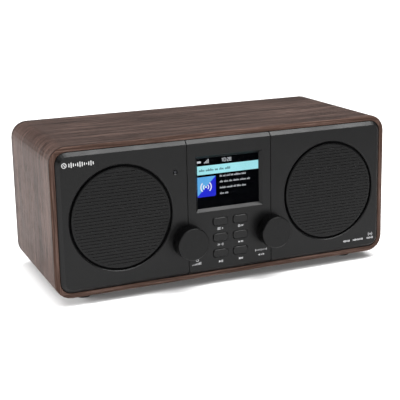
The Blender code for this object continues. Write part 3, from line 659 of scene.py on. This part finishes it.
def mark_buttons(ink):
    """A pictogram under each button: a list, a ringed stroke, a scan, a star, play and skip."""
    menu = [bar(-1.4, dz, 3.4, STROKE) for dz in (-0.95, 0.0, 0.95)] + [chevron(2.3, 0, 0.8)]
    info = [(disc(-1.2, 0, 1.15, 20), FINE_STROKE, True), bar(-1.2, 0, STROKE, 1.1),
            bar(2.2, 0.4, 2.6, STROKE), bar(1.9, -0.5, 2.0, STROKE)]
    scan = [chevron(x, 0, 0.95) for x in (-2.6, -1.4)] + waves(0.8, 0, 1.9, FINE_STROKE)
    preset = [star(-1.5, 0, 1.25)] + [bar(1.6, dz, 2.8, STROKE) for dz in (0.55, -0.55)]
    play = [triangle(-1.0, 0, 1.2), bar(0.9, 0, 0.5, 2.3), bar(1.9, 0, 0.5, 2.3)]
    skip = [triangle(-0.9, 0, 1.1), triangle(0.8, 0, 1.1), bar(2.2, 0, 0.5, 2.2)]
    pictograms = zip((menu, info, scan, preset, play, skip), BUTTON_MARK_DROPS)
    for number, (shapes, drop) in enumerate(pictograms, 1):
        x, z = centre_of(f"button_{number}")
        fascia_marks(f"button_mark_{number}", shapes, ink, (x, z - drop))


def mark_knobs(ink):
    """Level wedge and standby ring under the left knob, tuning scale and arrows under the right."""
    left = [bar(-5.0 + 1.45 * i, -2.4 + 0.16 * i, 0.7, 0.7 + 0.32 * i) for i in range(7)]
    left += [(arc(0.2, 2.1, 1.25, 125, 415, 18), 0.4, False), bar(0.2, 3.0, 0.4, 1.5)]
    right = [bar(-6.0 + 1.5 * i, 2.6, 0.45, 2.2 if i % 4 == 0 else 1.2) for i in range(9)]
    right += [triangle(-2.2, -2.3, 1.1, -1), disc(0.2, -2.3, 0.6), triangle(2.6, -2.3, 1.1)]
    for name, shapes, (aside, above) in (("volume", left, VOLUME_MARK_OFFSET),
                                         ("tuning", right, TUNING_MARK_OFFSET)):
        x, z = centre_of(f"knob_{name}")
        fascia_marks(f"knob_mark_{name}", shapes, ink, (x + aside, z + above))


def mark_corner(ink):
    """A small scale in three groups with a wave mark above it, at the lower right."""
    shapes = []
    for start, count in ((-42.0, 6), (-30.4, 9), (-14.0, 6)):
        for i in range(count):
            shapes.append(bar(start + 1.35 * i, 9.9, 0.75, 1.9 if i % 3 else 1.2))
    shapes += waves(-10.4, 13.9, 2.3, STROKE, (0, 180))
    fascia_marks("corner_marks", shapes, ink, (PANEL_HIGH.x / MM, (PANEL_LOW.z - BASE) / MM))


def mark_back(ink):
    """Pictograms over the jacks: a dot in an open ring with plus and minus, and headphones."""
    supply = [disc(0, 0, 0.8), (arc(0, 0, 2.2, 30, 330, 24), 0.45, False), bar(4.4, 0, 2.6, 0.45),
              bar(4.4, 0, 0.45, 2.6), bar(-4.4, 0, 2.6, 0.45)]
    headphones = [(arc(0, 0, 2.4, 0, 180, 16), 0.5, False)]
    headphones += [bar(x, -1.0, 1.1, 2.2, 0.4) for x in (-2.3, 2.3)]
    for node, label, shapes in (("dc_jack", "supply", supply),
                                ("headphone_jack", "headphones", headphones)):
        low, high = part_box(node)
        place = ((low.x + high.x) / 2 / MM, (high.z - BASE) / MM + REAR_MARK_RISE)
        marks(f"rear_mark_{label}", shapes, ink, "indicator",
              BACK - PRINT_SUNK, BACK + PRINT_PROUD, place)


# ---------------------------------------------------------------- screen

def screen_layer(level):
    """Depths of one of the thin layers between the window and the display module."""
    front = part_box("display_window")[1].y
    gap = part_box("lcd_module")[0].y - front
    return tuple(front + gap * (depth - LAYER_STEP * level) for depth in (LAYER_FRONT, LAYER_BACK))


def screen_marks(name, shapes, material, level):
    """Lit shapes laid out in millimetres from the middle of the window."""
    marks(name, shapes, material, "lcd_frame", *screen_layer(level), centre_of("display_window"))


DIGIT_PATHS = {
    "0": [[(0, 0), (0, 2), (1, 2), (1, 0), (0, 0)]],
    "1": [[(0.25, 1.6), (0.7, 2), (0.7, 0)]],
    "2": [[(0, 2), (1, 2), (1, 1), (0, 1), (0, 0), (1, 0)]],
    "8": [[(0, 0), (0, 2), (1, 2), (1, 0), (0, 0)], [(0, 1), (1, 1)]],
}


def clock(x, z, size):
    """The digits 10:28 as strokes."""
    shapes = []
    for character in "10:28":
        if character == ":":
            dot = 0.32 * size
            shapes += [bar(x + 0.1 * size, z + up * size, dot, dot) for up in (0.55, 1.45)]
            x += 0.75 * size
            continue
        for path in DIGIT_PATHS[character]:
            closed = path[0] == path[-1]
            points = [(x + px * size, z + pz * size) for px, pz in (path[:-1] if closed else path)]
            shapes.append((points, 0.3 * size, closed))
        x += 1.55 * size
    return shapes


def word_bars(x, end, z, height, source):
    """Words drawn as close upright strokes of two heights, joined by a thin level stroke."""
    shapes = []
    pitch = 0.48 * height
    stroke = 0.24 * height
    while x < end - 3 * pitch:
        count = min(source.randint(3, 8), int((end - x) / pitch))
        for i in range(count):
            tall = height * source.choice((0.68, 0.68, 1.0))
            shapes.append(bar(x + i * pitch, z + (tall - height) / 2, stroke, tall))
        length = (count - 1) * pitch
        shapes.append(bar(x + length / 2, z - 0.12 * height, length, 0.5 * stroke))
        x += (count + 0.9) * pitch
    return shapes


def build_screen():
    """The lit picture: a status line, a title bar, a tile with waves, and lines of words."""
    source = random.Random(WORD_SEED)
    white = lit("screen_white", (0.62, 0.64, 0.66))
    dark = lit("screen_black", (0.0006, 0.0007, 0.0012))
    screen_marks("screen_backlight", [bar(0, 0, LIT_WIDTH + 2, LIT_HEIGHT + 2)], dark, 0)
    screen_marks("screen_title_bar", [bar(0, 12.4, LIT_WIDTH + 1, 8.6)],
                 lit("screen_cyan", (0.40, 0.86, 0.90)), 1)
    light = [(-32.9, 5.9), (-12.6, 5.9), (-32.9, -13.8)]
    deep = [(-12.6, 5.9), (-12.6, -12.6), (-13.4, -13.8), (-32.9, -13.8)]
    screen_marks("screen_tile_light", [light], lit("screen_sky", (0.13, 0.45, 0.85)), 1)
    screen_marks("screen_tile_deep", [deep], lit("screen_blue", (0.022, 0.03, 0.70)), 1)
    glyph = waves(-22.8, -4.2, 5.4, 1.1, (0, 180))
    screen_marks("screen_tile_waves", glyph, lit("screen_glyph", (0.9, 0.93, 0.97)), 2)
    words = word_bars(-29.5, 4.0, 12.4, 2.5, source)
    screen_marks("screen_title_words", words, lit("screen_ink", (0.02, 0.06, 0.09)), 2)
    lines = []
    for z, end in ((5.2, 20.6), (-0.4, 25.0), (-6.3, 20.6), (-11.9, 4.5)):
        lines += word_bars(-8.0, end, z, 1.9, source)
    screen_marks("screen_lines", lines, white, 1)
    status = clock(-6.2, 19.2, 1.55)
    status += [bar(-24.0 + 1.3 * i, 19.6 + 0.5 * i, 0.8, 1.0 + i) for i in range(4)]
    status += [bar(-30.4, 20.6, 5.6, 2.0, 0.8)]
    screen_marks("screen_status", status, white, 1)


def build_shade_cloths():
    """A disc of acoustic cloth in the gap behind each grille, whose near-black colour is also
    painted shade there.
    """
    cloth = cloth_with_painted_shade()
    for side in ("left", "right"):
        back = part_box(f"speaker_grille_{side}")[1].y
        bm = bmesh.new()
        outline = disc(*centre_of(f"speaker_grille_{side}"), CLOTH_RADIUS, 72)
        plate(bm, outline, back + CLOTH_FRONT * MM, back + CLOTH_BACK * MM)
        piece(f"grille_cloth_painted_shade_{side}", bm, cloth, "case")


# ---------------------------------------------------------------- stage, light and camera

def softbox(name, place, target, size, radiance, mirrored):
    """A rectangular light that the camera doesn't see."""
    light = bpy.data.lights.new(name, "AREA")
    light.shape = "RECTANGLE"
    light.size, light.size_y = size
    light.energy = radiance * math.pi * size[0] * size[1]
    lamp = bpy.data.objects.new(name, light)
    lamp.location = place
    lamp.rotation_euler = (Vector(target) - Vector(place)).to_track_quat("-Z", "Y").to_euler()
    lamp.visible_camera = False
    lamp.visible_glossy = mirrored
    bpy.context.scene.collection.objects.link(lamp)


def build_world():
    """A bright ceiling, a dim room and a pale horizon."""
    world = bpy.data.worlds.new("studio")
    world.use_nodes = True
    tree = world.node_tree
    up = add(tree, "SeparateXYZ", {0: add(tree, "TexCoord").outputs["Generated"]}).outputs[2]
    ceiling = ranged(tree, up, *CEILING_UP, ROOM_STRENGTH, CEILING_STRENGTH)
    horizon = ranged(tree, up, *HORIZON_UP, HORIZON_STRENGTH, 0.0)
    background = tree.nodes["Background"]
    background.inputs["Color"].default_value = (1, 1, 1, 1)
    tree.links.new(calc(tree, "ADD", ceiling, horizon), background.inputs["Strength"])
    bpy.context.scene.world = world


def build_stage():
    """The floor just under the feet, the world and the softboxes."""
    bm = bmesh.new()
    sides = ((-1, -1), (1, -1), (1, 1), (-1, 1))
    bm.faces.new([bm.verts.new((i * FLOOR_HALF, j * FLOOR_HALF, -FLOOR_DROP)) for i, j in sides])
    mesh = bpy.data.meshes.new("floor")
    bm.to_mesh(mesh)
    bm.free()
    mesh.materials.append(plain_floor())
    floor = bpy.data.objects.new("floor", mesh)
    bpy.context.scene.collection.objects.link(floor)
    build_world()
    for settings in SOFTBOXES:
        softbox(*settings)
    bpy.context.scene.view_settings.view_transform = "Standard"


def build_camera():
    """From the front left, a little above."""
    camera = bpy.data.cameras.new("camera")
    camera.sensor_width = CAMERA_SENSOR
    camera.lens = CAMERA_LENS
    camera.shift_y = CAMERA_SHIFT
    eye = bpy.data.objects.new("camera", camera)
    eye.location = CAMERA_PLACE
    turn, tilt, roll = (Matrix.Rotation(math.radians(angle), 4, axis) for angle, axis in
                        ((CAMERA_TURN, "Z"), (CAMERA_TILT, "X"), (CAMERA_ROLL, "Z")))
    eye.rotation_euler = (turn @ tilt @ roll).to_euler()
    bpy.context.scene.collection.objects.link(eye)
    bpy.context.scene.camera = eye


finish_nodes()
ink = printed("print_grey", INK_GREY)
mark_logo(printed("print_white", INK_WHITE))
mark_buttons(ink)
mark_knobs(ink)
mark_corner(ink)
mark_back(ink)
build_screen()
build_shade_cloths()
build_stage()
build_camera()
